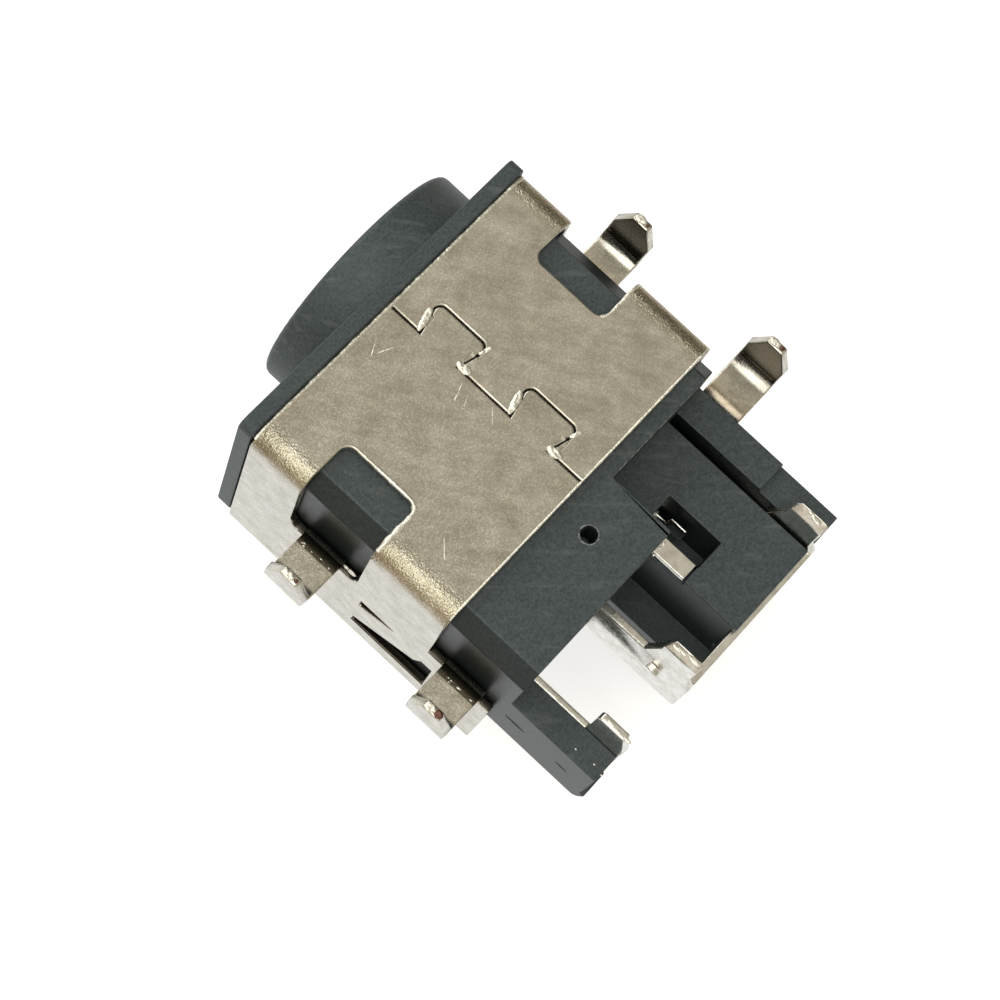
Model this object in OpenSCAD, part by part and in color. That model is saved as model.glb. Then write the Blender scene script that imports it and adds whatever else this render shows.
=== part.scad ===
// DC barrel jack for a laptop board: a black moulded housing with an off-centre
// plug collar, wrapped in one folded metal shield that stands on four solder legs.
// It lies on its back with the solder legs up, and the plug goes in along +Y.
// Lengths below are measured along Y from the front edge of the shield, and
// heights from the lower edge of the front flange.

/* [Shield] */
// gap between the flange and the front edge of the shield
flange_gap = 0.06; // [0:0.01:0.2]
// width of the folded shield, over both side walls
shield_w = 12; // [10:0.1:14]
// height of the folded shield, from back wall to seam wall
shield_h = 8.1; // [6:0.1:10]
// length of the seam wall, front edge to rear edge
seam_wall_len = 7.7; // [6:0.1:9]
// length of the side walls and the back wall
side_wall_len = 10.2; // [8:0.1:12]
// thickness of the shield sheet
sheet = 0.3; // [0.2:0.05:0.5]
// outside radius of the four long folds
fold_r = 0.7; // [0.4:0.05:1.2]
// height of the sill that the side windows and the rear step are cut down to
sill_z = 4.75; // [3:0.05:6]
// front edge of the side windows
window_y = 2.05; // [1:0.05:4]
// length of the side windows
window_len = 2.72; // [1.5:0.02:4]
// how far the windows reach in over the seam wall from each side
window_reach = 1.92; // [0.5:0.02:3]
// corner radius of the windows
window_r = 0.35; // [0.1:0.05:0.8]

/* [Seam] */
// sideways place of the seam
seam_x = 0.12; // [-0.5:0.02:0.5]
// width of the gap along the seam
seam_gap = 0.05; // [0.02:0.01:0.15]
// middle of the front dovetail tongue
tongue_front = 2.01; // [1:0.01:3]
// middle of the rear dovetail tongue
tongue_rear = 5.6; // [4:0.05:7]
// length of a tongue at its tip
tongue_tip = 2.06; // [1.5:0.02:2.6]
// length of a tongue at its neck
tongue_neck = 1.46; // [1:0.02:2]
// how far a tongue reaches across the seam
tongue_reach = 1.12; // [0.5:0.02:1.6]
// radius of the two tip corners of a tongue
tongue_r = 0.25; // [0.05:0.05:0.35]

/* [Retaining slits] */
// front end of the slits pressed in each side wall
slit_y = 5.17; // [4:0.01:6]
// rear end of the upper slit
slit_end = 6.5; // [6:0.05:7.5]
// height of the upper slit at its blunt end
slit_z = 3.5; // [3:0.05:4.5]
// widest part of the upper slit
slit_w = 0.45; // [0.1:0.05:0.8]
// lower edge of the long wedge opening
wedge_z = 1.58; // [1:0.02:2.5]
// height of the wedge opening at its front end
wedge_front_h = 0.36; // [0.1:0.02:1]
// height of the wedge opening at its rear end
wedge_rear_h = 1.4; // [0.5:0.05:2.5]
// extra height of its squared rear end
wedge_step = 0.5; // [0:0.05:0.8]
// front of the squared rear end
wedge_step_y = 7.5; // [7:0.05:8]
// rear end of the wedge opening
wedge_end = 8.1; // [7:0.05:9]

/* [Shield legs] */
// middle of the front pair of legs
leg_front = 3.4; // [2:0.02:5]
// middle of the rear pair of legs
leg_rear = 9.03; // [8:0.02:10]
// width of a leg
leg_w = 1.48; // [1:0.02:2]
// distance over the outer faces of a pair of legs
leg_span = 15.8; // [14:0.1:18]
// height of the upper face of the flat part of a leg, where the board sits
board_z = 5.35; // [4:0.05:6]
// height of the leg tips
leg_tip_z = 7.3; // [6.5:0.05:9]
// outside radius of the fold at the foot of a leg
leg_root_r = 0.6; // [0.4:0.05:1]
// outside radius of the fold where a leg turns up
leg_fold_r = 0.75; // [0.4:0.05:1.2]
// height of the tapered nose of a leg
leg_nose = 0.9; // [0.2:0.05:1.2]
// width of the blunt tip of a leg
leg_tip_w = 0.6; // [0.3:0.02:1]

/* [Housing] */
// gap between the housing and the shield around it
shield_fit = 0.04; // [0:0.01:0.1]
// width of the front flange
flange_w = 11.9; // [11:0.05:13]
// height of the front flange
flange_h = 8.5; // [8:0.05:10]
// thickness of the front flange
flange_t = 0.5; // [0.3:0.05:1]
// radius of the two upper corners of the flange
flange_r = 0.35; // [0.2:0.05:1.5]
// radius of the two lower corners of the flange
flange_low_r = 1.3; // [0.2:0.05:2]
// chamfer along the long edges of the housing body
body_chamfer = 0.55; // [0.2:0.05:1]
// rear end of the full-width body behind the seam wall
lip_y = 8.2; // [7.8:0.05:9]
// rear end of the raised part of the body
body_y = 10.55; // [9:0.05:12]
// rear end of the body below the arm
body_low_y = 10.1; // [9:0.05:12]
// radius of the upright rear corner of the raised part
body_r = 0.1; // [0.05:0.05:0.4]
// side face of the raised part, left of which the body is low
raised_x = -0.79; // [-2:0.01:1]
// rear end of the low block
block_y = 13.96; // [12:0.01:15]
// height of the top face of the low block
block_z = 5.95; // [5:0.05:7]
// right-hand side of the low block, above its ledge
block_x = -0.65; // [-2:0.05:1]
// height of the ledge on the right-hand side of the block
ledge_z = 3.1; // [2:0.05:4]
// right-hand end of that ledge
ledge_x = 0.35; // [-0.3:0.05:1]
// rear end of the arm that carries the pin terminal
arm_y = 14.07; // [12:0.01:15]
// height of the top face of the arm
arm_z = 5.65; // [5:0.05:7]
// height of the arm itself
arm_h = 2.75; // [1.5:0.05:4]
// width of the arm
arm_w = 1; // [0.6:0.05:1.6]
// depth of the rounding at the lower rear corner of the arm
arm_r = 0.45; // [0.1:0.05:1]
// height of that rounding
arm_r_h = 1.6; // [0.1:0.1:2]
// diameter of the core-pin hole in the raised top
core_hole_d = 0.56; // [0.3:0.02:1]

/* [Plug socket] */
// sideways place of the plug axis
plug_x = -1.39; // [-3:0.01:3]
// outside diameter of the collar
collar_d = 8.1; // [7:0.1:10]
// how far the collar stands out in front of the shield
collar_len = 2.02; // [1:0.01:4]
// rounding of the collar rim
rim_r = 0.2; // [0.05:0.05:0.5]
// diameter of the plug bore
bore_d = 6.4; // [5.8:0.1:7]
// rear end of the plug bore
bore_y = 7.9; // [6:0.1:9]
// chamfer at the mouth of the bore
mouth = 0.3; // [0.1:0.05:0.5]
// diameter of the centre pin
pin_d = 2.45; // [1:0.05:2.5]
// how far the pin tip lies behind the collar rim
pin_setback = 1.1; // [0.5:0.1:3]
// diameter of the shank riveted through the pin terminal
shank_d = 1.2; // [0.6:0.1:1.6]
// diameter of the rivet head
rivet_d = 1.7; // [1.3:0.1:2]

/* [Contacts] */
// height of the tips of the two sleeve tails
sleeve_tip_z = 7.55; // [6.5:0.05:9]
// height of the tip of the pin tail
pin_tip_z = 7.25; // [6.5:0.05:9]
// thickness of the contact strip
strip = 0.28; // [0.16:0.02:0.4]
// distance between the inner faces of the two sleeve fingers at the rear
finger_gap = 5.6; // [5.5:0.05:6.2]
// distance between the fingers where they press on the plug sleeve
contact_gap = 5.2; // [4.8:0.05:5.5]
// height of a finger strip
finger_h = 1.2; // [0.6:0.1:2]
// front end of the fingers
finger_y = 1.4; // [0.5:0.1:4]
// place along Y where the fingers press
press_y = 2.8; // [1.5:0.1:5]
// place along Y where the fingers start to bend inward
bend_y = 5.4; // [4:0.1:7]
// height of the rear plate of the sleeve contact
rear_plate_h = 1.95; // [1:0.05:4]
// lower edge of the rear plate
rear_plate_z = 3.65; // [2:0.05:4]
// rear face of the rear plate
rear_plate_y = 14.12; // [13.5:0.02:14.5]
// front edge of the two sleeve tails
sleeve_tail_y = 12.63; // [12:0.01:13]
// width of a sleeve tail
sleeve_tail_w = 1.24; // [0.6:0.02:1.4]
// front edge of the pin tail
pin_tail_y = 12.62; // [11:0.01:13]
// width of the pin tail
pin_tail_w = 1.27; // [0.6:0.01:1.5]
// depth of the bevel coined on the right of each sleeve tip
coin_h = 0.35; // [0.1:0.05:0.6]
// height of the slanting rear edge of the pin tail
pin_cut_h = 1; // [0.2:0.05:1.2]
// how far that edge slants
pin_cut = 0.26; // [0.1:0.02:0.6]
// width of the sloping shoulder in front of a sleeve tail
shoulder_w = 0.42; // [0.1:0.02:0.8]
// height of that shoulder
shoulder_h = 1.3; // [0.3:0.05:1.4]
// top of the side plates in front of the sleeve tails
side_plate_z = 5.55; // [5:0.05:6]
// top of the pin terminal beside the arm
pin_terminal_z = 5.4; // [4:0.05:6]
// front edge of the bridge under the raised top
bridge_y = 9; // [8.5:0.05:9.6]
// width of the bridge
bridge_w = 0.95; // [0.5:0.05:1.4]
// rear end of the tab that shows on the low block
tab_y = 11.78; // [10.6:0.02:13]
// left-hand edge of that tab
tab_x = -1.34; // [-2:0.01:-1]
// width of that tab
tab_w = 0.63; // [0.3:0.01:1]

/* [Hidden] */
$fn = 64;
eps = 0.01;
play = 0.05;
centre_y = -6.05;
axis_z = flange_h / 2;
shield_z = axis_z - shield_h / 2;
shield_top = shield_z + shield_h;
half_w = shield_w / 2;
inner_w = shield_w - 2 * sheet;
inner_h = shield_h - 2 * sheet;
body_w = inner_w - 2 * shield_fit;
body_h = inner_h - 2 * shield_fit;
body_z = shield_z + sheet + shield_fit;
leg_x = leg_span / 2;
rear_sill = sill_z - 0.35;
dent = [0.35, 0.3, 0.06];
dent_x = -0.35;
arm_x = body_w / 2 - arm_w;
pin_front = -collar_len + pin_setback;
plate_y = 9.6;
plate_w = 0.9;
plate_rise = 0.45;
plate_z = axis_z - plate_w;
plate_top = axis_z + plate_rise;
finger_z = axis_z - finger_h / 2;
finger_in = finger_gap / 2;
finger_out = finger_in + strip;
side_plate_y = sleeve_tail_y - shoulder_w;
web_y = rear_plate_y - strip;
nose_corner = 0.2;
flank = atan((tongue_tip - tongue_neck) / 2 / tongue_reach);
bar_y = 10.2;
bar_end = 13.15;
bar_z = 4.85;
bar_top = 5.8;
bar_fold = 0.5;
bar_lean = 0.22;
groove_w = 0.4;
rib_end = 11.65;
rib_drop = 0.2;
pocket_x = -2.38;
pocket_w = 1.06;
pocket_y = 9.78;
pocket_end = 11.87;
pocket_z = 4;
rivet_h = 0.2;
ear_x = 0.18;
ear_t = 0.1;
ear_y = 10.25;
ear_end = 10.9;
ear_z = 5.25;
bridge_z = block_z - strip - play;
side_z = 4.2;
core_hole_x = 1.03;
core_hole_y = 8.86;
core_hole_depth = 1.5;

// ---- shapes shared by several pieces ----

// rectangle with true round corners, lower left corner at the origin
module round_rect(w, h, r) {
    translate([r, 0]) square([w - 2 * r, h]);
    translate([0, r]) square([w, h - 2 * r]);
    for (x = [r, w - r], y = [r, h - r])
        translate([x, y]) circle(r);
}

// rectangle with upper corners of radius r and lower corners of radius low
module shouldered_rect(w, h, r, low) {
    translate([r, low]) square([w - 2 * r, h - low]);
    translate([0, low]) square([w, h - r - low]);
    translate([low, 0]) square([w - 2 * low, low]);
    for (x = [r, w - r])
        translate([x, h - r]) circle(r);
    for (x = [low, w - low])
        translate([x, low]) circle(low);
}

// rectangle with 45 degree corners, centred on x and standing on z
module chamfered(w, z, h, c) {
    polygon([[-w / 2 + c, z], [w / 2 - c, z], [w / 2, z + c], [w / 2, z + h - c],
        [w / 2 - c, z + h], [-w / 2 + c, z + h], [-w / 2, z + h - c], [-w / 2, z + c]]);
}

// quarter of a flat ring in the quadrant given by the signs sx and sz
module quarter_ring(ro, ri, sx, sz) {
    intersection() {
        difference() {
            circle(ro);
            circle(ri);
        }
        translate([sx > 0 ? 0 : -ro, sz > 0 ? 0 : -ro]) square(ro);
    }
}

// a section drawn in X and Z, run along Y from y0 to y1
module run_y(y0, y1) {
    translate([0, y1, 0]) rotate([90, 0, 0]) linear_extrude(y1 - y0) children();
}

// a side view drawn in Y and Z, run along X from x0 to x1
module run_x(x0, x1) {
    translate([x0, 0, 0]) rotate([90, 0, 90]) linear_extrude(x1 - x0) children();
}

// a turned shape on the plug axis, starting at y and growing towards the front
module on_axis(y) {
    translate([plug_x, y, axis_z]) rotate([90, 0, 0]) children();
}

// box between two opposite corners
module box(a, b) {
    translate(a) cube(b - a);
}

// turned rod whose far end is rounded by r
module round_nosed_rod(d, len, r) {
    rotate_extrude() {
        square([d / 2 - r, len]);
        square([d / 2, len - r]);
        translate([d / 2 - r, len - r]) intersection() {
            circle(r);
            square(r);
        }
    }
}

// ---- shield: one sheet folded round the housing, with four legs ----

// one leg on the right: out from the wall at board level, then up to its tip
module leg(y) {
    root_x = half_w - sheet + leg_root_r;
    turn_x = leg_x - leg_fold_r;
    turn_z = board_z - sheet + leg_fold_r;
    intersection() {
        run_y(y - leg_w / 2, y + leg_w / 2) {
            translate([half_w - sheet, rear_sill - 0.1])
                square([sheet, board_z - leg_root_r - rear_sill + 0.1]);
            translate([root_x, board_z - leg_root_r])
                quarter_ring(leg_root_r, leg_root_r - sheet, -1, 1);
            translate([root_x, board_z - sheet]) square([turn_x - root_x, sheet]);
            translate([turn_x, turn_z]) quarter_ring(leg_fold_r, leg_fold_r - sheet, 1, -1);
            translate([leg_x - sheet, turn_z]) square([sheet, leg_tip_z - turn_z]);
        }
        run_x(half_w - sheet - eps, leg_x + eps)
            polygon([[y - leg_w / 2, shield_z], [y + leg_w / 2, shield_z],
                [y + leg_w / 2, leg_tip_z - leg_nose], [y + leg_tip_w / 2, leg_tip_z],
                [y - leg_tip_w / 2, leg_tip_z], [y - leg_w / 2, leg_tip_z - leg_nose]]);
    }
}

// plan of the sheet on the right of the seam, with its two dovetail tongues;
// grow moves the seam line outward
module seam_side(grow) {
    translate([-grow, -1]) square([grow + 1, seam_wall_len + 2]);
    corner_x = tongue_r - tongue_reach;
    corner_y = tongue_tip / 2 - tongue_r / tan(45 - flank / 2);
    for (y = [tongue_front, tongue_rear]) translate([0, y]) {
        polygon([for (s = [-1, 1], k = [0:2]) let (j = s < 0 ? k : 2 - k)
            j == 0 ? [seam_gap, s * (tongue_neck / 2 + grow)]
            : j == 1 ? [corner_x + (tongue_r + grow) * sin(flank),
                s * (corner_y + (tongue_r + grow) * cos(flank))]
            : [-tongue_reach - grow, s * corner_y]]);
        for (s = [-1, 1])
            translate([corner_x, s * corner_y]) circle(tongue_r + grow);
    }
}

// the seam gap and the dents that stake the tongues in place
module seam() {
    translate([seam_x, 0, shield_top - 1]) linear_extrude(2) difference() {
        seam_side(seam_gap / 2);
        seam_side(-seam_gap / 2);
    }
    for (c = [tongue_front, tongue_rear], s = [-1, 1])
        translate([dent_x, c + s * (tongue_neck + dent[1]) / 2, shield_top])
            cube([dent[0], dent[1], 2 * dent[2]], center = true);
}

// one side window: through the side wall down to the sill and in over the seam wall
module side_window() {
    run_x(half_w - fold_r, half_w + 1)
        translate([window_y, sill_z]) round_rect(window_len, shield_h, window_r);
    translate([half_w - window_reach, window_y, shield_top - fold_r])
        linear_extrude(2) round_rect(window_reach + 1, window_len, window_r);
}

// the tapered slit and the wedge opening that free a retaining tongue
module retaining_cuts() {
    polygon([[slit_y, slit_z - slit_w / 2], [slit_end, slit_z + slit_w / 2],
        [slit_end, slit_z + slit_w / 2 + play], [slit_y, slit_z + slit_w / 2 + play]]);
    wedge_top = wedge_z + wedge_rear_h;
    polygon([[slit_y, wedge_z], [wedge_end, wedge_z], [wedge_end, wedge_top + wedge_step],
        [wedge_step_y + wedge_step / 2, wedge_top + wedge_step], [wedge_step_y, wedge_top],
        [slit_y, wedge_z + wedge_front_h]]);
}

module shield() {
    color([0.62, 0.6, 0.54]) {
        difference() {
            run_y(flange_gap, side_wall_len) difference() {
                translate([-half_w, shield_z]) round_rect(shield_w, shield_h, fold_r);
                translate([-inner_w / 2, shield_z + sheet])
                    round_rect(inner_w, inner_h, fold_r - sheet);
            }
            for (side = [0, 1]) mirror([side, 0, 0]) {
                side_window();
                run_x(half_w - 2 * sheet, half_w + 1) retaining_cuts();
            }
            box([-half_w - 1, seam_wall_len, sill_z], [half_w + 1, side_wall_len + 1, shield_top + 1]);
            box([-half_w - 1, leg_rear, rear_sill], [half_w + 1, side_wall_len + 1, shield_top + 1]);
            seam();
        }
        for (y = [leg_front, leg_rear], side = [0, 1])
            mirror([side, 0, 0]) leg(y);
    }
}

// ---- housing: one black moulding ----

// everything the housing is made of before it is cored out
module housing_mass() {
    run_y(-flange_t, 0)
        translate([-flange_w / 2, 0]) shouldered_rect(flange_w, flange_h, flange_r, flange_low_r);
    on_axis(0) round_nosed_rod(collar_d, collar_len, rim_r);
    run_y(-eps, lip_y) chamfered(body_w, body_z, body_h, body_chamfer);
    intersection() {
        run_y(0, body_y) chamfered(body_w, body_z, body_h, body_chamfer);
        union() {
            translate([raised_x, 0, arm_z - arm_h]) linear_extrude(flange_h) {
                square([body_w, body_y - body_r]);
                translate([body_r, 0]) square([body_w, body_y]);
                translate([body_r, body_y - body_r]) circle(body_r);
            }
            box([raised_x, 0, 0], [body_w, body_low_y, arm_z]);
        }
    }
    run_y(lip_y - eps, block_y) intersection() {
        chamfered(body_w, body_z, body_h, body_chamfer);
        union() {
            translate([-body_w / 2, 0]) square([body_w / 2 + block_x, block_z]);
            translate([-body_w / 2, 0]) square([body_w / 2 + ledge_x, ledge_z]);
        }
    }
    run_x(arm_x, body_w / 2)
        polygon(concat([[lip_y, arm_z], [lip_y, arm_z - arm_h]],
            [for (a = [0:10:90]) [arm_y - arm_r + arm_r * sin(a),
                arm_z - arm_h + arm_r_h * (1 - cos(a))]], [[arm_y, arm_z]]));
}

// the plug bore with its mouth, and the hole for the pin shank
module socket_bore() {
    on_axis(bore_y) cylinder(h = bore_y + collar_len + 1, d = bore_d);
    on_axis(-collar_len + mouth)
        cylinder(h = mouth + eps, d1 = bore_d, d2 = bore_d + 2 * mouth + 2 * eps);
    on_axis(plate_y + eps) cylinder(h = plate_y - bore_y + 2 * eps, d = shank_d);
}

// the slots that hold the sleeve contact, and the groove its left arm lies in
module sleeve_slots() {
    for (s = [-1, 1]) {
        inner = plug_x + s * (contact_gap / 2 - 0.1);
        outer = plug_x + s * (finger_out + play);
        box([min(inner, outer), finger_y - 0.3, finger_z - play],
            [max(inner, outer), bore_y, finger_z + finger_h + play]);
        back = plug_x + s * finger_in;
        box([min(back, outer) - play / 2, bore_y - eps, finger_z - play],
            [max(back, outer), block_y + 1, finger_z + finger_h + play]);
    }
    box([plug_x - finger_out - play, lip_y, rear_plate_z],
        [plug_x - finger_out - play + groove_w, block_y + 1, flange_h]);
    box([plug_x + finger_in - play, bar_y - 0.2, bar_z - play],
        [plug_x + finger_out + bar_lean + 2 * play, body_y + 1, bar_top + play]);
}

// the room for the pin terminal, its rivet and its bridge
module terminal_room() {
    box([plug_x - plate_w - play, plate_y, plate_z - play],
        [plug_x + plate_w + play, plate_y + strip + rivet_h + play, bridge_z]);
    box([pocket_x, plate_y, pocket_z], [pocket_x + pocket_w, pocket_end, bridge_z]);
    box([pocket_x, pocket_y, pocket_z], [pocket_x + pocket_w, pocket_end, block_z + eps]);
    box([tab_x - play, plate_y, bridge_z], [block_x + 1, tab_y + play, block_z + eps]);
    box([tab_x - play, bridge_y - play, bridge_z], [arm_x, bridge_y + bridge_w + play, block_z + eps]);
    box([arm_x - strip - play, bridge_y - play, side_z - play], [arm_x, body_y + 1, block_z + eps]);
}

module housing() {
    color([0.2, 0.2, 0.21]) difference() {
        housing_mass();
        socket_bore();
        sleeve_slots();
        terminal_room();
        box([-half_w, rib_end, block_z - rib_drop],
            [plug_x - finger_out, block_y + 1, flange_h]);
        box([plug_x - finger_out - play, web_y, rear_plate_z - play],
            [half_w, block_y + 1, rear_plate_z + rear_plate_h + play]);
        translate([core_hole_x, core_hole_y, shield_top - core_hole_depth])
            cylinder(h = 2 * core_hole_depth, d = core_hole_d);
    }
}

// ---- contacts ----

// the turned pin, shouldered on the end wall of the bore and riveted behind it
module centre_pin() {
    color([0.72, 0.7, 0.64]) {
        on_axis(bore_y) round_nosed_rod(pin_d, bore_y - pin_front, pin_d / 5);
        on_axis(plate_y + strip + eps) cylinder(h = plate_y + strip + 2 * eps - bore_y, d = shank_d);
        on_axis(plate_y + strip + rivet_h) cylinder(h = rivet_h, d1 = rivet_d * 0.7, d2 = rivet_d);
    }
}

// plan of one sleeve finger, with the plug axis at x = 0 and the finger on the right
module finger_plan() {
    press = contact_gap / 2;
    polygon([[finger_in, side_plate_y + eps], [finger_in, bend_y], [press, press_y],
        [finger_in, finger_y], [finger_out, finger_y], [press + strip, press_y],
        [finger_out, bend_y], [finger_out, side_plate_y + eps]]);
}

// rear part of one side of the sleeve contact, with its tail
module sleeve_side() {
    tail_rear = sleeve_tail_y + sleeve_tail_w;
    run_x(finger_in, finger_out) {
        polygon([[side_plate_y, rear_plate_z], [rear_plate_y, rear_plate_z],
            [rear_plate_y, rear_plate_z + rear_plate_h], [tail_rear, side_plate_z + shoulder_w],
            [tail_rear, sleeve_tip_z - nose_corner / 2],
            [tail_rear - nose_corner / 2, sleeve_tip_z],
            [sleeve_tail_y + nose_corner, sleeve_tip_z],
            [sleeve_tail_y, sleeve_tip_z - 2 * nose_corner],
            [sleeve_tail_y, side_plate_z + shoulder_h], [side_plate_y, side_plate_z]]);
    }
    translate([0, 0, finger_z]) linear_extrude(finger_h) finger_plan();
}

// bar in front of the right tail: it leans out below its top edge and ends in a tongue
module sleeve_bar() {
    intersection() {
        run_y(bar_y, bar_end) translate([finger_in, 0])
            polygon([[0, bar_top], [strip, bar_top], [strip + bar_lean, bar_z + bar_fold],
                [strip + bar_lean, bar_z], [bar_lean, bar_z], [bar_lean, bar_z + bar_fold]]);
        run_x(finger_in - eps, finger_out + bar_lean + eps) {
            translate([bar_y, bar_z]) square([side_plate_y + bar_fold - bar_y, bar_top - bar_z]);
            translate([bar_y, bar_z]) square([bar_end - bar_fold / 2 - bar_y, bar_fold]);
            translate([bar_end - bar_fold / 2, bar_z + bar_fold / 2]) circle(bar_fold / 2);
        }
    }
}

// one strip folded round the rear of the block, with a finger and a tail each side
module sleeve_contact() {
    color([0.72, 0.7, 0.64]) {
        translate([plug_x, 0, 0]) {
            difference() {
                for (side = [0, 1]) mirror([side, 0, 0]) sleeve_side();
                for (right_face = [finger_out, -finger_in])
                    run_y(bar_y, rear_plate_y) translate([right_face, sleeve_tip_z])
                        polygon([[-strip, 0], [0, -coin_h], [eps, -coin_h], [eps, eps], [-strip, eps]]);
            }
            box([-finger_out, web_y, rear_plate_z],
                [finger_out, rear_plate_y, rear_plate_z + rear_plate_h]);
            sleeve_bar();
        }
    }
}

// one strip riveted to the pin, bridged over the sleeve finger to the arm
module pin_terminal() {
    color([0.76, 0.74, 0.68]) {
        difference() {
            run_y(plate_y, plate_y + strip) {
                translate([plug_x - plate_w, plate_z])
                    square([2 * plate_w, plate_top - plate_z]);
                translate([tab_x, axis_z]) square([tab_w, bridge_z + strip - axis_z]);
            }
            on_axis(plate_y + strip + eps) cylinder(h = strip + 2 * eps, d = shank_d);
        }
        run_x(pocket_x + ear_x, pocket_x + ear_x + ear_t)
            polygon([[plate_y, axis_z], [ear_end, axis_z + ear_t], [ear_end, ear_z],
                [ear_y, ear_z], [ear_y, plate_top], [plate_y, plate_top]]);
        box([tab_x, plate_y, bridge_z], [tab_x + tab_w, tab_y, bridge_z + strip]);
        box([tab_x, bridge_y, bridge_z], [arm_x, bridge_y + bridge_w, bridge_z + strip]);
        run_x(arm_x - strip, arm_x) {
            translate([bridge_y, side_z]) square([bridge_w, bridge_z + strip - side_z]);
            translate([bridge_y, side_z])
                square([pin_tail_y + pin_tail_w - bridge_y, pin_terminal_z - side_z]);
            polygon([[pin_tail_y, side_z], [pin_tail_y + pin_tail_w, side_z],
                [pin_tail_y + pin_tail_w, pin_tip_z - pin_cut_h],
                [pin_tail_y + pin_tail_w - pin_cut, pin_tip_z],
                [pin_tail_y + nose_corner / 2, pin_tip_z],
                [pin_tail_y, pin_tip_z - nose_corner / 2]]);
        }
    }
}

translate([0, centre_y, 0]) housing();
translate([0, centre_y, 0]) shield();
translate([0, centre_y, 0]) centre_pin();
translate([0, centre_y, 0]) sleeve_contact();
translate([0, centre_y, 0]) pin_terminal();
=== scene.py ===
import math
import random

import bpy
from mathutils import Matrix, Vector


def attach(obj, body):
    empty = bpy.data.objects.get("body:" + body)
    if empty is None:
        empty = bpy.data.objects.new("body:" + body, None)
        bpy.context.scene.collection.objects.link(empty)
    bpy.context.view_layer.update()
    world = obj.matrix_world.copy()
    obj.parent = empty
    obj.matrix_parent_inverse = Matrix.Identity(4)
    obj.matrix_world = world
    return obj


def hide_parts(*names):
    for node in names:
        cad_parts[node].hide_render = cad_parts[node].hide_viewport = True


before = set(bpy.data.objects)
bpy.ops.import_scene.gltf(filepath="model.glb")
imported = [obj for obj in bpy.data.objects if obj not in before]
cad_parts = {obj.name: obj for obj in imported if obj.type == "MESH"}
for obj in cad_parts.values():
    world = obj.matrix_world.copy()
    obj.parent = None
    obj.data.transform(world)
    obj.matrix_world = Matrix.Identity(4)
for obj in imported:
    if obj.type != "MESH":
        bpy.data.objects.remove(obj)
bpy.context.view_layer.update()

scene = bpy.context.scene
bpy.ops.object.select_all(action="DESELECT")


# ---- camera ----
# The jack is seen from high over its rear right corner, plug entry to the upper left,
# through a long lens and with the camera rolled a little.
camera_right = Vector((-0.65636, 0.73156, 0.18442))
camera_up = Vector((-0.67874, -0.67931, 0.27902))
camera_back = Vector((0.3294, 0.05796, 0.94241))
bpy.ops.object.camera_add()
camera = bpy.context.object
camera.name = "camera"
camera.data.lens = 92.983
camera.data.sensor_width = 36
camera.data.clip_start = 0.001
camera.data.clip_end = 10
placing = Matrix((camera_right, camera_up, camera_back)).transposed().to_4x4()
placing.translation = Vector((0.02663, 0.00457, 0.07812))
camera.matrix_world = placing
scene.camera = camera
scene.view_settings.view_transform = "Standard"


# ---- studio ----
# A pale table under three soft boxes, in a room that is grey overhead and dark to the
# sides. The table shows white and still takes the soft shadow under the jack.
def tones(node, stops):
    """Sets a colour ramp to the stops given, each a place and a colour."""
    stops = [(place, (*colour, 1)) for place, colour in stops]
    marks = node.color_ramp.elements
    marks[0].position, marks[0].color = stops[0]
    marks[-1].position, marks[-1].color = stops[-1]
    for place, colour in stops[1:-1]:
        marks.new(place).color = colour


def math_node(nodes, operation):
    """A node that does the sum given on its inputs."""
    node = nodes.new("ShaderNodeMath")
    node.operation = operation
    return node


def spread(nodes, source=(0, 1), target=(0, 1)):
    """A node that maps the source range onto the target range."""
    node = nodes.new("ShaderNodeMapRange")
    node.inputs["From Min"].default_value, node.inputs["From Max"].default_value = source
    node.inputs["To Min"].default_value, node.inputs["To Max"].default_value = target
    return node


def new_finish(name):
    """A new finish with its nodes, its links and its shader."""
    stuff = bpy.data.materials.new(name)
    stuff.use_nodes = True
    tree = stuff.node_tree
    return stuff, tree.nodes, tree.links, tree.nodes["Principled BSDF"]


world = bpy.data.worlds.new("studio")
scene.world = world
world.use_nodes = True
nodes, links = world.node_tree.nodes, world.node_tree.links
way = nodes.new("ShaderNodeTexCoord")
axes = nodes.new("ShaderNodeSeparateXYZ")
across = spread(nodes, (-1, 1))
shades = nodes.new("ShaderNodeValToRGB")
tones(shades, [
    (0, (0.16, 0.15, 0.12)),
    (0.16, (0.20, 0.19, 0.16)),
    (0.27, (0.64, 0.59, 0.50)),
    (0.37, (0.47, 0.43, 0.345)),
    (0.47, (0.38, 0.35, 0.28)),
    (0.60, (0.80, 0.77, 0.68)),
    (0.80, (0.66, 0.61, 0.50)),
    (1, (0.40, 0.33, 0.25))])
links.new(way.outputs["Generated"], axes.inputs["Vector"])
links.new(axes.outputs["X"], across.inputs["Value"])
links.new(across.outputs["Result"], shades.inputs["Fac"])
links.new(shades.outputs["Color"], nodes["Background"].inputs["Color"])

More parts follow.
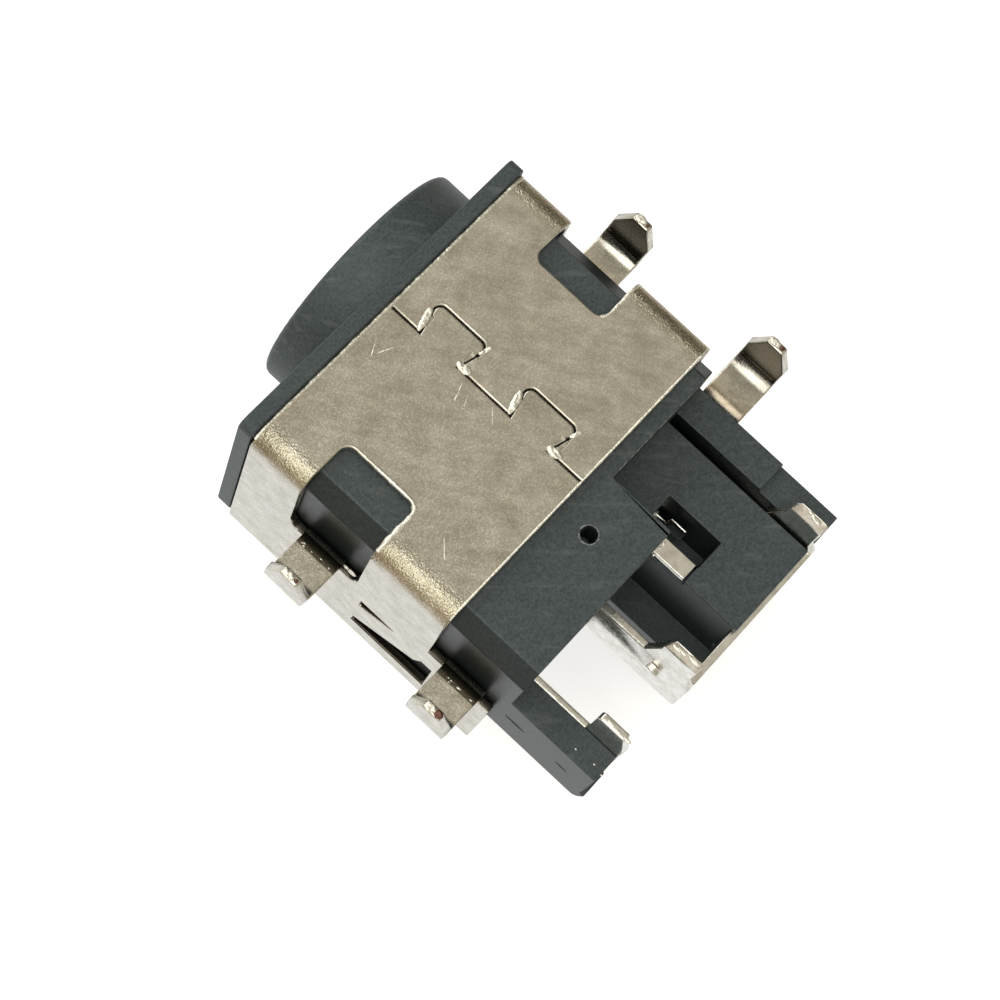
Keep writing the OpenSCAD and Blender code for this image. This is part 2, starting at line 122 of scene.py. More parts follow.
bpy.ops.mesh.primitive_plane_add(size=1.6, location=(0, 0, -0.00002))
table = bpy.context.object
table.name = "table"
bpy.ops.object.transform_apply(location=True, rotation=True, scale=True)
paper, nodes, links, plain = new_finish("table_paper")
plain.inputs["Base Color"].default_value = (0.86, 0.86, 0.86, 1)
plain.inputs["Roughness"].default_value = 0.9
plain.inputs["Specular IOR Level"].default_value = 0.1
glow = nodes.new("ShaderNodeEmission")
glow.inputs["Strength"].default_value = 0.6
lifted = nodes.new("ShaderNodeAddShader")
white = nodes.new("ShaderNodeEmission")
sheet_place = nodes.new("ShaderNodeTexCoord")
sheet_scale = nodes.new("ShaderNodeMapping")
sheet_scale.inputs["Scale"].default_value = (20, 20, 20)
# To reflections the table glows white near the jack and turns to a painted brown shade further
# off.
far_off = nodes.new("ShaderNodeTexGradient")
far_off.gradient_type = "SPHERICAL"
far_painted_shade = nodes.new("ShaderNodeValToRGB")
tones(far_painted_shade, [(0.35, (0.50, 0.43, 0.34)), (0.68, (1, 1, 1))])
seen = nodes.new("ShaderNodeLightPath")
mirrored = math_node(nodes, "MAXIMUM")
to_camera = nodes.new("ShaderNodeMixShader")
to_metal = nodes.new("ShaderNodeMixShader")
links.new(sheet_place.outputs["Object"], sheet_scale.inputs["Vector"])
links.new(sheet_scale.outputs["Vector"], far_off.inputs["Vector"])
links.new(far_off.outputs["Fac"], far_painted_shade.inputs["Fac"])
links.new(far_painted_shade.outputs["Color"], white.inputs["Color"])
links.new(plain.outputs[0], lifted.inputs[0])
links.new(glow.outputs[0], lifted.inputs[1])
links.new(seen.outputs["Is Glossy Ray"], mirrored.inputs[0])
links.new(seen.outputs["Is Transmission Ray"], mirrored.inputs[1])
links.new(seen.outputs["Is Camera Ray"], to_camera.inputs["Fac"])
links.new(plain.outputs[0], to_camera.inputs[1])
links.new(lifted.outputs[0], to_camera.inputs[2])
links.new(mirrored.outputs[0], to_metal.inputs["Fac"])
links.new(to_camera.outputs[0], to_metal.inputs[1])
links.new(white.outputs[0], to_metal.inputs[2])
links.new(to_metal.outputs[0], nodes["Material Output"].inputs["Surface"])
table.data.materials.append(paper)

for name, place, size, power in [
        ("top_box", (0.137, 0.0, 0.322), (0.20, 0.40), 0.38),
        ("right_box", (0.24, 0.03, 0.10), (0.10, 0.30), 0.05),
        ("front_box", (-0.06, -0.25, 0.16), (0.30, 0.24), 0.34)]:
    bpy.ops.object.light_add(type="AREA", location=place)
    lamp = bpy.context.object
    lamp.name = name
    lamp.data.shape = "RECTANGLE"
    lamp.data.size = size[0]
    lamp.data.size_y = size[1]
    lamp.data.energy = power
    aim = Vector((0, 0, 0.005)) - Vector(place)
    lamp.rotation_euler = aim.to_track_quat("-Z", "Y").to_euler()
bpy.ops.object.select_all(action="DESELECT")


# ---- housing ----
# One black glass-filled nylon moulding: flange, collar, socket and terminal block in
# one shot. Its mould was spark-eroded, so the skin is finely mottled and half matt.
def dressed_copy(node, name, edge, segments=2, share=lambda middle: 1):
    """A merged copy of a CAD solid whose sharp edges are rounded. The radius is the
    edge given, times the share that the edge's middle point gets."""
    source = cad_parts[node]
    piece = source.copy()
    piece.data = source.data.copy()
    piece.name = name
    piece.parent = None
    piece.matrix_world = Matrix.Identity(4)
    scene.collection.objects.link(piece)
    piece.data.materials.clear()
    for key in list(piece.keys()):
        del piece[key]
    bpy.ops.object.select_all(action="DESELECT")
    piece.select_set(True)
    bpy.context.view_layer.objects.active = piece
    bpy.ops.object.mode_set(mode="EDIT")
    bpy.ops.mesh.select_all(action="SELECT")
    bpy.ops.mesh.remove_doubles(threshold=0.0000005)
    bpy.ops.mesh.dissolve_limited(angle_limit=math.radians(0.4))
    bpy.ops.mesh.select_mode(type="EDGE")
    bpy.ops.mesh.select_all(action="DESELECT")
    bpy.ops.mesh.edges_select_sharp(sharpness=math.radians(28))
    bpy.ops.object.mode_set(mode="OBJECT")
    points = piece.data.vertices
    weights = piece.data.attributes.new("bevel_weight_edge", "FLOAT", "EDGE")
    for line in piece.data.edges:
        if line.select:
            middle = (points[line.vertices[0]].co + points[line.vertices[1]].co) / 2
            weights.data[line.index].value = share(middle)
    rounding = piece.modifiers.new("rounding", "BEVEL")
    rounding.width = edge
    rounding.segments = segments
    rounding.limit_method = "WEIGHT"
    rounding.use_clamp_overlap = False
    bpy.ops.object.modifier_apply(modifier="rounding")
    bpy.ops.object.shade_smooth_by_angle(angle=math.radians(40))
    evened = piece.modifiers.new("evened", "WEIGHTED_NORMAL")
    evened.keep_sharp = True
    bpy.ops.object.modifier_apply(modifier="evened")
    return piece


def noise(nodes, scale, detail=2, roughness=0.5):
    """A noise texture with so many patches to the metre."""
    node = nodes.new("ShaderNodeTexNoise")
    node.inputs["Scale"].default_value = scale
    node.inputs["Detail"].default_value = detail
    node.inputs["Roughness"].default_value = roughness
    return node


def bump(nodes, strength, depth=0.00001):
    """A bump node with its strength and its depth in metres."""
    node = nodes.new("ShaderNodeBump")
    node.inputs["Strength"].default_value = strength
    node.inputs["Distance"].default_value = depth
    return node


def mark_faces(piece, name, test):
    """A face attribute that is 1 where the test holds for a face's middle and normal."""
    marks = piece.data.attributes.new(name, "FLOAT", "FACE")
    for face in piece.data.polygons:
        marks.data[face.index].value = 1.0 if test(face.center, face.normal) else 0.0


plug_x, plug_z, collar_reach, collar_back = -0.00139, 0.00425, 0.00415, -0.002


def moulded_share(middle):
    """The collar and its socket have their own roundings; the rest is eased all round."""
    from_plug_axis = math.hypot(middle.x - plug_x, middle.z - plug_z)
    return 0 if from_plug_axis < collar_reach and middle.y < collar_back else 1


moulding = dressed_copy("housing", "moulding", 0.00004, 2, moulded_share)
# Faces turned to either side are smoother, and their colour is cut to 0.3 of the rest: a
# painted shade on the sides.
mark_faces(moulding, "smooth_sides_painted_shade",
    lambda middle, normal: abs(normal.x) > 0.6 and middle.y > -0.006)
nylon, nodes, links, shader = new_finish("black_nylon")
spot = nodes.new("ShaderNodeTexCoord")
mottle = noise(nodes, 12000, 5, 0.65)
tint = nodes.new("ShaderNodeValToRGB")
tones(tint, [(0.36, (0.030, 0.040, 0.044)), (0.66, (0.074, 0.090, 0.094))])
shader.inputs["Specular Tint"].default_value = (0.86, 0.98, 1, 1)
# The marked sides get the painted shade and a little less roughness.
sides = nodes.new("ShaderNodeAttribute")
sides.attribute_name = "smooth_sides_painted_shade"
painted_side_shade = spread(nodes, (0, 1), (1, 0.3))
toned = nodes.new("ShaderNodeVectorMath")
toned.operation = "SCALE"
smoother = math_node(nodes, "MULTIPLY_ADD")
smoother.inputs[1].default_value = -0.14
drawn = nodes.new("ShaderNodeMapping")
drawn.vector_type = "TEXTURE"
drawn.inputs["Rotation"].default_value = (0, 0, 0.7)
drawn.inputs["Scale"].default_value = (1, 5, 1)
rubbed = noise(nodes, 4200, 4)
scuff = spread(nodes, (0.56, 0.78), (0, 0.6))
worn = nodes.new("ShaderNodeMix")
worn.data_type = "RGBA"
worn.inputs[7].default_value = (0.13, 0.14, 0.14, 1)
gloss = spread(nodes, (0, 1), (0.36, 0.62))
grain = noise(nodes, 21000, 3)
skin = bump(nodes, 0.8, 0.00001)
links.new(spot.outputs["Object"], mottle.inputs["Vector"])
links.new(spot.outputs["Object"], grain.inputs["Vector"])
links.new(spot.outputs["Object"], drawn.inputs["Vector"])
links.new(drawn.outputs["Vector"], rubbed.inputs["Vector"])
links.new(rubbed.outputs["Fac"], scuff.inputs["Value"])
links.new(mottle.outputs["Fac"], tint.inputs["Fac"])
links.new(scuff.outputs["Result"], worn.inputs["Factor"])
links.new(tint.outputs["Color"], worn.inputs[6])
links.new(worn.outputs[2], toned.inputs[0])
links.new(sides.outputs["Fac"], painted_side_shade.inputs["Value"])
links.new(painted_side_shade.outputs["Result"], toned.inputs["Scale"])
links.new(toned.outputs["Vector"], shader.inputs["Base Color"])
links.new(mottle.outputs["Fac"], gloss.inputs["Value"])
links.new(sides.outputs["Fac"], smoother.inputs[0])
links.new(gloss.outputs["Result"], smoother.inputs[2])
links.new(smoother.outputs[0], shader.inputs["Roughness"])
links.new(grain.outputs["Fac"], skin.inputs["Height"])
links.new(skin.outputs["Normal"], shader.inputs["Normal"])
moulding.data.materials.append(nylon)
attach(moulding, "root")
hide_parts("housing")


# ---- shield ----
# One nickel-plated steel sheet, blanked, folded round the moulding and locked by two
# dovetail tongues in the seam. Four solder legs are folded out of it.
tongues, tongue_half = (-0.00404, -0.00045), 0.00088
leg_middles = (-0.00265, 0.00298)
fold_start, fold_radius, seam_top = 0.0053, 0.0007, 0.0083


def rim_share(middle):
    """One rounding all along the sheet's edges, and hardly any on the stakes."""
    beside = min(abs(abs(middle.y - tongue) - tongue_half) for tongue in tongues)
    on_stake = beside < 0.00017 and abs(middle.x + 0.00035) < 0.0002
    return 0.15 if on_stake and middle.z > 0.0082 else 1


def multiplied(nodes):
    """A node that multiplies one colour by another, wholly unless its factor is linked."""
    node = nodes.new("ShaderNodeMix")
    node.data_type = "RGBA"
    node.blend_type = "MULTIPLY"
    node.inputs["Factor"].default_value = 1
    return node


shell = dressed_copy("shield", "shell", 0.00006, 3, rim_share)
mark_faces(shell, "sheared", lambda middle, normal: abs(normal.x) < 0.5
    and 0.0056 < abs(middle.x) < 0.00605 and 0.0007 < middle.z < 0.00485)
# The inner faces of the upturned -X legs are marked for a dark painted shade.
mark_faces(shell, "inner_face_shade", lambda middle, normal: normal.x > 0.8
    and middle.x < -0.007 and middle.z > 0.0056)
nickel, nodes, links, shader = new_finish("nickel_sheet")
shader.inputs["Metallic"].default_value = 1
spot = nodes.new("ShaderNodeTexCoord")
cloud = noise(nodes, 1500, 6, 0.6)
tint = nodes.new("ShaderNodeValToRGB")
tones(tint, [(0.3, (0.50, 0.475, 0.40)), (0.7, (0.68, 0.66, 0.59))])
drawn = nodes.new("ShaderNodeMapping")
drawn.vector_type = "TEXTURE"
drawn.inputs["Rotation"].default_value = (0, 0, math.radians(33))
drawn.inputs["Scale"].default_value = (1, 5, 1)
wiped = noise(nodes, 3600, 5, 0.65)
streak = spread(nodes, (0.3, 0.72), (0.86, 1.15))
sparkle = spread(nodes, (0.42, 0.72), (0.95, 1.22))
glinting = math_node(nodes, "MULTIPLY")
shaded = nodes.new("ShaderNodeVectorMath")
shaded.operation = "SCALE"
fold_height = spread(nodes, (0.0077, 0.0083))
fold_tone = nodes.new("ShaderNodeValToRGB")
tones(fold_tone, [(0, (1, 1, 1)), (0.3, (0.92, 0.89, 0.83)), (0.5, (0.78, 0.71, 0.60)),
    (0.72, (0.70, 0.65, 0.53)), (0.88, (0.76, 0.73, 0.61)), (1, (0.84, 0.81, 0.72))])
folded = multiplied(nodes)
root_reach = spread(nodes, (0.006, 0.0068))
root_tone = nodes.new("ShaderNodeValToRGB")
tones(root_tone, [(0, (1, 1, 1)), (0.04, (0.62, 0.54, 0.46)), (0.32, (0.70, 0.62, 0.54)),
    (0.5, (1, 0.97, 0.92)), (1, (1, 1, 1))])
rooted = multiplied(nodes)
shade_reach = spread(nodes, (0.006, 0.0066))
shade_tone = nodes.new("ShaderNodeValToRGB")
tones(shade_tone, [(0, (1, 1, 1)), (0.05, (0.2, 0.2, 0.19)), (0.68, (0.24, 0.23, 0.21)),
    (0.76, (1, 1, 1)), (1, (1, 1, 1))])
under_block = multiplied(nodes)
on_leg = spread(nodes, (0.00605, 0.0062), (0, 0.08))
either = math_node(nodes, "MAXIMUM")
# The sheared faces, and the painted shade on the legs' inner faces, both turn dark brown.
sheared_mark = nodes.new("ShaderNodeAttribute")
sheared_mark.attribute_name = "sheared"
inner_shade_mark = nodes.new("ShaderNodeAttribute")
inner_shade_mark.attribute_name = "inner_face_shade"
sheared_and_shaded = math_node(nodes, "MAXIMUM")
sheared_and_shaded_tone = nodes.new("ShaderNodeMix")
sheared_and_shaded_tone.data_type = "RGBA"
sheared_and_shaded_tone.inputs[7].default_value = (0.10, 0.088, 0.07, 1)
place = nodes.new("ShaderNodeSeparateXYZ")
from_middle = math_node(nodes, "ABSOLUTE")
on_fold = spread(nodes, (0.0050, 0.0054))
up_fold = spread(nodes, (0.0074, 0.0078))
fold = math_node(nodes, "MULTIPLY")
rougher = math_node(nodes, "MULTIPLY_ADD")
rougher.inputs[1].default_value = 0.00002
rougher.inputs[2].default_value = 0.0000009
orange_peel = noise(nodes, 12000, 2)
both_grains = math_node(nodes, "ADD")
grain = noise(nodes, 16000, 1)
gloss = spread(nodes, (0, 1), (0.17, 0.33))
skin = bump(nodes, 1)
links.new(spot.outputs["Object"], cloud.inputs["Vector"])
links.new(spot.outputs["Object"], grain.inputs["Vector"])
links.new(spot.outputs["Object"], drawn.inputs["Vector"])
links.new(drawn.outputs["Vector"], wiped.inputs["Vector"])
links.new(wiped.outputs["Fac"], streak.inputs["Value"])
links.new(cloud.outputs["Fac"], tint.inputs["Fac"])
links.new(tint.outputs["Color"], shaded.inputs[0])
links.new(grain.outputs["Fac"], sparkle.inputs["Value"])
links.new(streak.outputs["Result"], glinting.inputs[0])
links.new(sparkle.outputs["Result"], glinting.inputs[1])
links.new(glinting.outputs[0], shaded.inputs["Scale"])
links.new(sheared_mark.outputs["Fac"], sheared_and_shaded.inputs[0])
links.new(inner_shade_mark.outputs["Fac"], sheared_and_shaded.inputs[1])
links.new(sheared_and_shaded.outputs[0], sheared_and_shaded_tone.inputs["Factor"])
links.new(place.outputs["Z"], fold_height.inputs["Value"])
links.new(fold_height.outputs["Result"], fold_tone.inputs["Fac"])
links.new(fold.outputs[0], folded.inputs["Factor"])
links.new(shaded.outputs["Vector"], folded.inputs[6])
links.new(fold_tone.outputs["Color"], folded.inputs[7])
links.new(from_middle.outputs[0], root_reach.inputs["Value"])
links.new(root_reach.outputs["Result"], root_tone.inputs["Fac"])
links.new(folded.outputs[2], rooted.inputs[6])
links.new(root_tone.outputs["Color"], rooted.inputs[7])
links.new(place.outputs["X"], shade_reach.inputs["Value"])
links.new(shade_reach.outputs["Result"], shade_tone.inputs["Fac"])
links.new(rooted.outputs[2], under_block.inputs[6])
links.new(shade_tone.outputs["Color"], under_block.inputs[7])
links.new(under_block.outputs[2], sheared_and_shaded_tone.inputs[6])
links.new(sheared_and_shaded_tone.outputs[2], shader.inputs["Base Color"])
links.new(grain.outputs["Fac"], gloss.inputs["Value"])
links.new(gloss.outputs["Result"], shader.inputs["Roughness"])
links.new(spot.outputs["Object"], place.inputs["Vector"])
links.new(spot.outputs["Object"], orange_peel.inputs["Vector"])
links.new(place.outputs["X"], from_middle.inputs[0])
links.new(from_middle.outputs[0], on_fold.inputs["Value"])
links.new(place.outputs["Z"], up_fold.inputs["Value"])
links.new(on_fold.outputs["Result"], fold.inputs[0])
links.new(up_fold.outputs["Result"], fold.inputs[1])
links.new(from_middle.outputs[0], on_leg.inputs["Value"])
links.new(fold.outputs[0], either.inputs[0])
links.new(on_leg.outputs["Result"], either.inputs[1])
links.new(either.outputs[0], rougher.inputs[0])
links.new(rougher.outputs[0], skin.inputs["Distance"])
links.new(grain.outputs["Fac"], both_grains.inputs[0])
links.new(orange_peel.outputs["Fac"], both_grains.inputs[1])
links.new(both_grains.outputs[0], skin.inputs["Height"])
links.new(skin.outputs["Normal"], shader.inputs["Normal"])
shell.data.materials.append(nickel)

# The legs were bent a little in packing: each leans out and to the rear.
lean_out = 2.8
for side in (-1, 1):
    for middle, lean_back in zip(leg_middles, (3.6, 0.8)):
        bpy.ops.object.mode_set(mode="EDIT")
        bpy.ops.mesh.select_all(action="DESELECT")
        bpy.ops.object.mode_set(mode="OBJECT")
        for vertex in shell.data.vertices:
            high = vertex.co.z > 0.00545 and side * vertex.co.x > 0.0064
            vertex.select = high and abs(vertex.co.y - middle) < 0.001
        bpy.ops.object.mode_set(mode="EDIT")
        root = (side * 0.0074, middle, 0.0056)
        bpy.ops.transform.rotate(value=math.radians(lean_out) * -side, orient_axis="Y",
            orient_type="GLOBAL", center_override=root)
        bpy.ops.transform.rotate(value=math.radians(lean_back), orient_axis="X",
            orient_type="GLOBAL", center_override=root)
        bpy.ops.object.mode_set(mode="OBJECT")
bpy.ops.object.select_all(action="DESELECT")
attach(shell, "root")
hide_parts("shield")


# ---- seam stakes and scratches ----
# A punch smeared the sheet over the neck of each dovetail to lock it, and the tongues
# and the wall beside them were scraped bright in handling.
# Bright scraped nickel: real scrapes on stakes, scratches, crumbs and beads, and a painted
# highlight on the rims and leg tips.
glint_and_scrape, nodes, links, shader = new_finish("scraped_and_glint_nickel")
shader.inputs["Metallic"].default_value = 1
shader.inputs["Base Color"].default_value = (0.93, 0.91, 0.82, 1)
shader.inputs["Roughness"].default_value = 0.42
spot = nodes.new("ShaderNodeTexCoord")
smear = noise(nodes, 8000, 3)
skin = bump(nodes, 1, 0.00004)
links.new(spot.outputs["Object"], smear.inputs["Vector"])
links.new(smear.outputs["Fac"], skin.inputs["Height"])
links.new(skin.outputs["Normal"], shader.inputs["Normal"])
ragged = bpy.data.textures.new("ragged", "CLOUDS")
ragged.noise_scale = 0.00012


def ball(place, half, turn=0.0, segments=14, rings=8):
    """A round lump with the half sizes given, turned about the vertical."""
    bpy.ops.mesh.primitive_uv_sphere_add(segments=segments, ring_count=rings, radius=1)
    lump = bpy.context.object
    lump.scale = half
    lump.rotation_euler = (0, 0, turn)
    lump.location = place
    return lump


def joined(name, parts, stuff, tear_depth=0):
    """One named piece made of several, in one material, with its skin torn if asked."""
    bpy.ops.object.select_all(action="DESELECT")
    for part in parts:
        part.select_set(True)
    piece = parts[0]
    bpy.context.view_layer.objects.active = piece
    bpy.ops.object.join()
    bpy.ops.object.transform_apply(location=True, rotation=True, scale=True)
    if tear_depth:
        tearing = piece.modifiers.new("tearing", "DISPLACE")
        tearing.texture = ragged
        tearing.strength = tear_depth
        bpy.ops.object.modifier_apply(modifier="tearing")
    bpy.ops.object.shade_smooth()
    piece.name = name
    piece.data.materials.append(stuff)
    return piece


flank = math.radians(15)
marks = []
for tongue in tongues:
    for place, half, turn in [
            ((-0.00030, tongue - 0.00093, seam_top), (0.00044, 0.00012, 0.00005), flank),
            ((0.00002, tongue + 0.00090, seam_top), (0.00015, 0.00026, 0.00005), 0.0),
            ((-0.00084, tongue + 0.00099, seam_top), (0.00022, 0.00007, 0.00003), -0.3)]:
        marks.append(ball(place, half, turn, 24, 12))
scratch_width, scratch_height = 0.000016, 0.000008
for start, stop in [
        ((0.00034, -0.00288), (0.00097, -0.00266)),
        ((0.00034, -0.00257), (0.00105, -0.00229)),
        ((0.00028, -0.00177), (0.00072, -0.00137)),
        ((0.00095, -0.00566), (0.00172, -0.00528)),
        ((0.00098, -0.00500), (0.00150, -0.00524)),
        ((0.00420, -0.00012), (0.00475, 0.00040))]:
    along = Vector(stop) - Vector(start)
    middle = (Vector(start) + Vector(stop)) / 2
    marks.append(ball((middle.x, middle.y, seam_top),
        (along.length / 2, scratch_width, scratch_height), math.atan2(along.y, along.x), 12, 8))
stakes = joined("seam_stakes", marks, glint_and_scrape, 0.00008)
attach(stakes, "root")


# ---- rolled rims ----
# The blanking punch left a rolled rim along the windows and the ends of the wall, drawn
# only along some edges in bright scraped nickel: a painted highlight on a real rim. The
# rims run on over the folds at the wall's sides.
def rim(points, radius):
    """A round bright rim of uneven width through the given points on the seam wall."""
    bpy.ops.curve.primitive_bezier_curve_add()
    wire = bpy.context.object
    wire.data.splines.clear()
    path = wire.data.splines.new("POLY")
    path.points.add(len(points) - 1)
    for knot, (x, y) in zip(path.points, points):
        over = max(0, abs(x) - fold_start)
        drop = fold_radius - math.sqrt(fold_radius ** 2 - over ** 2)
        knot.co = (x, y, seam_top - drop - 0.3 * radius, 1)
        knot.radius = 0.95 + 0.25 * math.sin(9000 * x + 7000 * y) * math.sin(4700 * (x + y))
    wire.data.dimensions = "3D"
    wire.data.bevel_depth = radius
    wire.data.bevel_resolution = 2
    wire.data.use_fill_caps = True
    bpy.ops.object.convert(target="MESH")
    return bpy.context.object


window_in, window_front, window_back, corner = 0.00404, -0.0040, -0.00122, 0.00039
turning = []
for step in range(10):
    angle = math.radians(10 * step)
    turning.append((window_in + corner * (1 - math.cos(angle)),
        window_back - corner * (1 - math.sin(angle))))
rims = []
for side in (-1, 1):
    outward = [window_in + corner + 0.00134 * k / 16 for k in range(1, 17)]
    back_edge = [(side * x, window_back) for x in outward]
    bend = [(side * x, y) for x, y in turning]
    if side > 0:
        inner = [(window_in, window_front + corner + 0.00200 * k / 16) for k in range(16)]
        rims.append(rim(inner + bend[:6], 0.00007))
        rims.append(rim(bend[4:] + back_edge, 0.0001))
    else:
        rims.append(rim(bend[4:] + back_edge, 0.00006))
for y, radius in [(-0.00597, 0.00008), (0.00161, 0.00004)]:
    rims.append(rim([(-0.0058 + 0.0116 * k / 90, y) for k in range(91)], radius))
rolled = joined("rolled_rims", rims, glint_and_scrape)
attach(rolled, "root")


# ---- leg tips ----
# Each leg was cropped from the strip: half of its blunt tip carries torn lumps of bright
# scraped nickel, a painted highlight, and the rest shows the brown of the bare metal.
torn, nodes, links, shader = new_finish("bare_metal")
shader.inputs["Metallic"].default_value = 1
shader.inputs["Roughness"].default_value = 0.5
spot = nodes.new("ShaderNodeTexCoord")
rust = noise(nodes, 9000)
shade = nodes.new("ShaderNodeValToRGB")
tones(shade, [(0, (0.10, 0.045, 0.035)), (1, (0.26, 0.15, 0.12))])
links.new(spot.outputs["Object"], rust.inputs["Vector"])
links.new(rust.outputs["Fac"], shade.inputs["Fac"])
links.new(shade.outputs["Color"], shader.inputs["Base Color"])
glint_lumps, bare_lumps = [], []
for side, middle, bare in [(1, -0.00252, 0.00006), (1, 0.00301, 0.00014),
                           (-1, -0.00252, 0.00005), (-1, 0.00301, 0.00008)]:
    for shift, size, group in [(-0.00014, 0.00016, glint_lumps),
                               (-0.00002, 0.00011, glint_lumps),
                               (0.00017, bare, bare_lumps)]:
        group.append(ball((side * 0.00784, middle + shift, 0.00731),
            (0.9 * size, 1.1 * size, 0.00005), 0, 16, 10))
for name, group, stuff in [("torn_tips_painted_glint", glint_lumps, glint_and_scrape), ("bare_tips", bare_lumps, torn)]:
    tips = joined(name, group, stuff, 0.00007)
    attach(tips, "root")


# ---- crumbs and nicks ----
# Bright crumbs of plating lie where the legs leave the wall, a burr stands at one window's
# corner, and the arm has a few pale nicks and two thin sink slots, drawn as near-black
# lenses: painted shade in the slots.
random.seed(7)
spots = [((0.0060, -0.00155, 0.00542), (0.00005, 0.00017, 0.00011)),
         ((0.0060, -0.00178, 0.00544), (0.00004, 0.00011, 0.00008))]
for middle in leg_middles:
    for _ in range(6):
        size = random.uniform(0.00002, 0.00005)
        x, y = random.uniform(0.00632, 0.00642), middle + random.uniform(-0.0006, 0.0006)
        spots.append(((x, y, 0.00541), (size, 1.6 * size, 0.7 * size)))
for x, y in [(0.0053, 0.00745), (0.00539, 0.00781), (0.00534, 0.00675)]:
    spots.append(((x, y, 0.00565), (0.000025, 0.00004, 0.00001)))
crumbs = joined("crumbs", [ball(place, half) for place, half in spots], glint_and_scrape)
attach(crumbs, "root")

# Near-black nylon that paints the shade inside the arm's sink slots.
slot_shade_finish, nodes, links, shader = new_finish("slot_shade_nylon")
spot = nodes.new("ShaderNodeTexCoord")
speck = noise(nodes, 15000)
shade = nodes.new("ShaderNodeValToRGB")
tones(shade, [(0, (0.004, 0.004, 0.005)), (1, (0.014, 0.015, 0.018))])
shader.inputs["Roughness"].default_value = 0.7
links.new(spot.outputs["Object"], speck.inputs["Vector"])
links.new(speck.outputs["Fac"], shade.inputs["Fac"])
links.new(shade.outputs["Color"], shader.inputs["Base Color"])
arm_side = max(vertex.co.x for vertex in moulding.data.vertices if vertex.co.y > 0.005)
slots = [((arm_side, 0.00495, 0.00431), (0.00001, 0.00040, 0.00008)),
         ((arm_side, 0.00682, 0.00431), (0.00001, 0.00025, 0.00005))]
slot_lenses = joined("sink_slot_shade", [ball(place, half) for place, half in slots], slot_shade_finish)
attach(slot_lenses, "root")


# ---- pale lip edge and hole rim ----
# The lip's rear edge is a paler grey line, and the core hole's mouth a pale ring, a painted
# highlight on its rim. Both are thin lines of the same nylon, let into the moulding's own
# edges.
pale_finish, nodes, links, shader = new_finish("pale_edge_nylon")
spot = nodes.new("ShaderNodeTexCoord")
speck = noise(nodes, 9000, 4)
shade = nodes.new("ShaderNodeValToRGB")
tones(shade, [(0.4, (0.05, 0.06, 0.065)), (0.65, (0.26, 0.27, 0.27))])
shader.inputs["Roughness"].default_value = 0.5
links.new(spot.outputs["Object"], speck.inputs["Vector"])
links.new(speck.outputs["Fac"], shade.inputs["Fac"])
links.new(shade.outputs["Color"], shader.inputs["Base Color"])
hole_x, hole_y, lip_y = 0.00103, 0.00281, 0.00215
corners = [vertex.co for vertex in moulding.data.vertices]
hole_top = max(co.z for co in corners if math.hypot(co.x - hole_x, co.y - hole_y) < 0.0004)
lip_top = max(co.z for co in corners if abs(co.y - lip_y) < 0.00006 and -0.005 < co.x < -0.0008)
bpy.ops.mesh.primitive_torus_add(major_radius=0.00030, minor_radius=0.000028,
    major_segments=48, minor_segments=10, location=(hole_x, hole_y, hole_top - 0.00001))
ring = bpy.context.object
bpy.ops.mesh.primitive_cylinder_add(vertices=12, radius=0.00003, depth=0.0042,
    location=(-0.0029, lip_y - 0.00001, lip_top - 0.00001), rotation=(0, math.pi / 2, 0))
lip_line = bpy.context.object
pale_lines = joined("pale_edge_lines", [ring, lip_line], pale_finish)
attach(pale_lines, "root")


# ---- centre pin ----
# A turned brass pin, nickel plated, pressed into the end wall of the socket and
# riveted over the pin terminal behind it.
turned_pin = dressed_copy("centre_pin", "turned_pin", 0.00003)
plated, nodes, links, shader = new_finish("turned_nickel")
shader.inputs["Metallic"].default_value = 1
shader.inputs["Base Color"].default_value = (0.66, 0.63, 0.56, 1)
spot = nodes.new("ShaderNodeTexCoord")
turns = nodes.new("ShaderNodeTexWave")
turns.bands_direction = "Y"
turns.inputs["Scale"].default_value = 9000
turns.inputs["Distortion"].default_value = 1.5
turns.inputs["Detail"].default_value = 3
gloss = spread(nodes, (0, 1), (0.16, 0.30))
skin = bump(nodes, 0.4, 0.000002)
links.new(spot.outputs["Object"], turns.inputs["Vector"])
links.new(turns.outputs["Fac"], gloss.inputs["Value"])
links.new(gloss.outputs["Result"], shader.inputs["Roughness"])
links.new(turns.outputs["Fac"], skin.inputs["Height"])
links.new(skin.outputs["Normal"], shader.inputs["Normal"])
turned_pin.data.materials.append(plated)
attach(turned_pin, "root")
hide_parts("centre_pin")


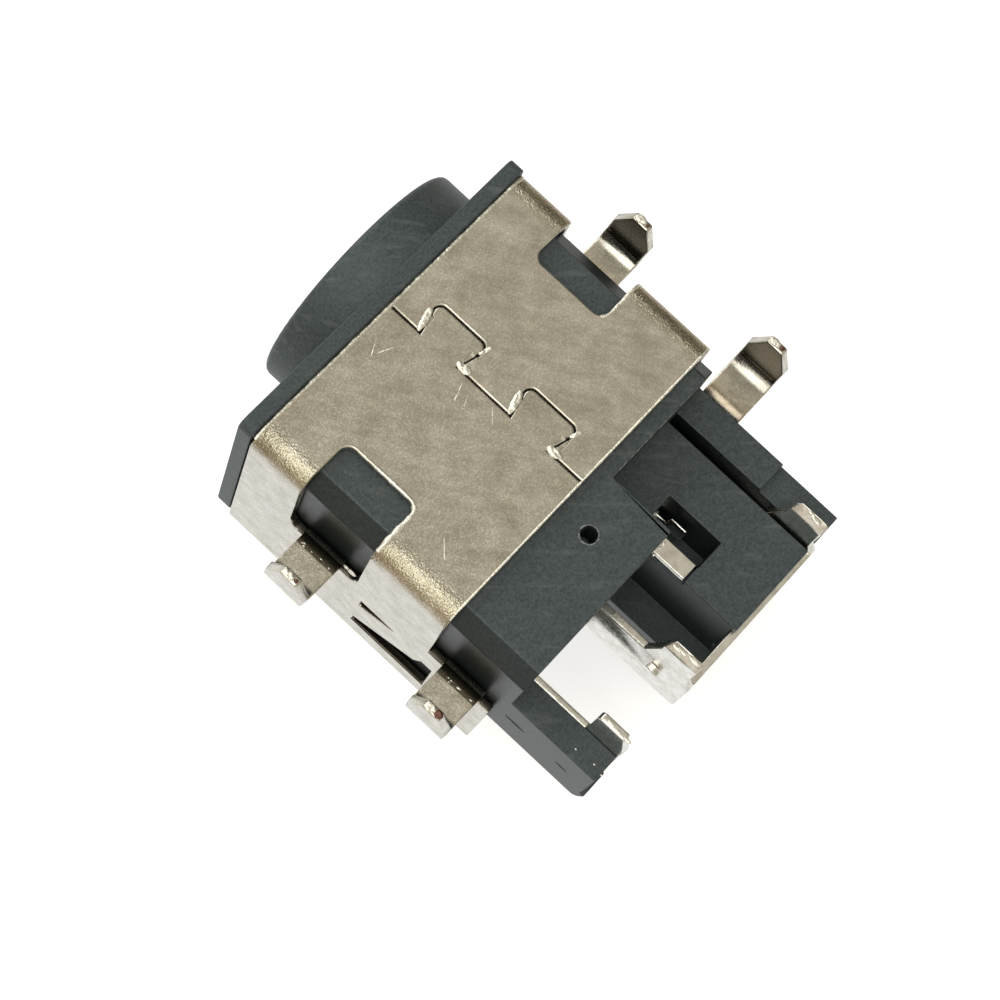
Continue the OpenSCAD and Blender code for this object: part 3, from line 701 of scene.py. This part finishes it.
# ---- sleeve contact ----
# One tinned bronze strip folded round the rear of the block, with a sprung finger
# down each side of the socket and a solder tail above each.
sleeve_strip = dressed_copy("sleeve_contact", "sleeve_strip", 0.00005, 3)
tinned, nodes, links, shader = new_finish("tinned_strip")
shader.inputs["Metallic"].default_value = 1
spot = nodes.new("ShaderNodeTexCoord")
cloud = noise(nodes, 3200, 5)
tint = nodes.new("ShaderNodeValToRGB")
tones(tint, [(0.32, (0.66, 0.645, 0.585)), (0.68, (0.87, 0.86, 0.81))])
flow = noise(nodes, 6500, 4)
gloss = spread(nodes, (0, 1), (0.16, 0.34))
skin = bump(nodes, 1, 0.000008)
links.new(spot.outputs["Object"], cloud.inputs["Vector"])
links.new(spot.outputs["Object"], flow.inputs["Vector"])
links.new(cloud.outputs["Fac"], tint.inputs["Fac"])
links.new(tint.outputs["Color"], shader.inputs["Base Color"])
links.new(flow.outputs["Fac"], gloss.inputs["Value"])
links.new(gloss.outputs["Result"], shader.inputs["Roughness"])
links.new(flow.outputs["Fac"], skin.inputs["Height"])
links.new(skin.outputs["Normal"], shader.inputs["Normal"])
sleeve_strip.data.materials.append(tinned)
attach(sleeve_strip, "root")
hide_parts("sleeve_contact")


# ---- pin terminal ----
# One tinned bronze strip riveted to the pin, bridged under the raised top to the arm,
# where its tail stands up.
pin_strip = dressed_copy("pin_terminal", "pin_strip", 0.00005, 3)
pin_strip.data.materials.append(tinned)
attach(pin_strip, "root")
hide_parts("pin_terminal")


# ---- solder dip ----
# The tail tips and the tab were dipped in tin, which froze in bright uneven beads:
# four across the end of each tail, and three along the edge of the tab.
tab_top = max(vertex.co.z for vertex in pin_strip.data.vertices
    if abs(vertex.co.x + 0.00087) < 0.0004 and 0.0044 < vertex.co.y < 0.0059)
random.seed(12)
beads = []
for x, y, z, half_width in [(-0.00434, 0.00722, 0.00753, 0.00056),
                            (0.00156, 0.00722, 0.00753, 0.00056),
                            (0.00452, 0.0072, 0.00723, 0.00058)]:
    for _ in range(4):
        size = random.uniform(0.00007, 0.00013)
        bead_x = x + random.uniform(-0.00005, 0.00005)
        bead_y = y + random.uniform(-0.6, 0.8) * half_width
        beads.append(ball((bead_x, bead_y, z), (0.8 * size, 1.9 * size, 0.00004)))
for shift in (0.00006, 0.00023, 0.00052):
    size = random.uniform(0.00005, 0.00008)
    beads.append(ball((-0.00119 + shift, 0.00457, tab_top - 0.00002),
        (1.3 * size, size, 0.00004)))
dip = joined("solder_dip", beads, glint_and_scrape)
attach(dip, "root")
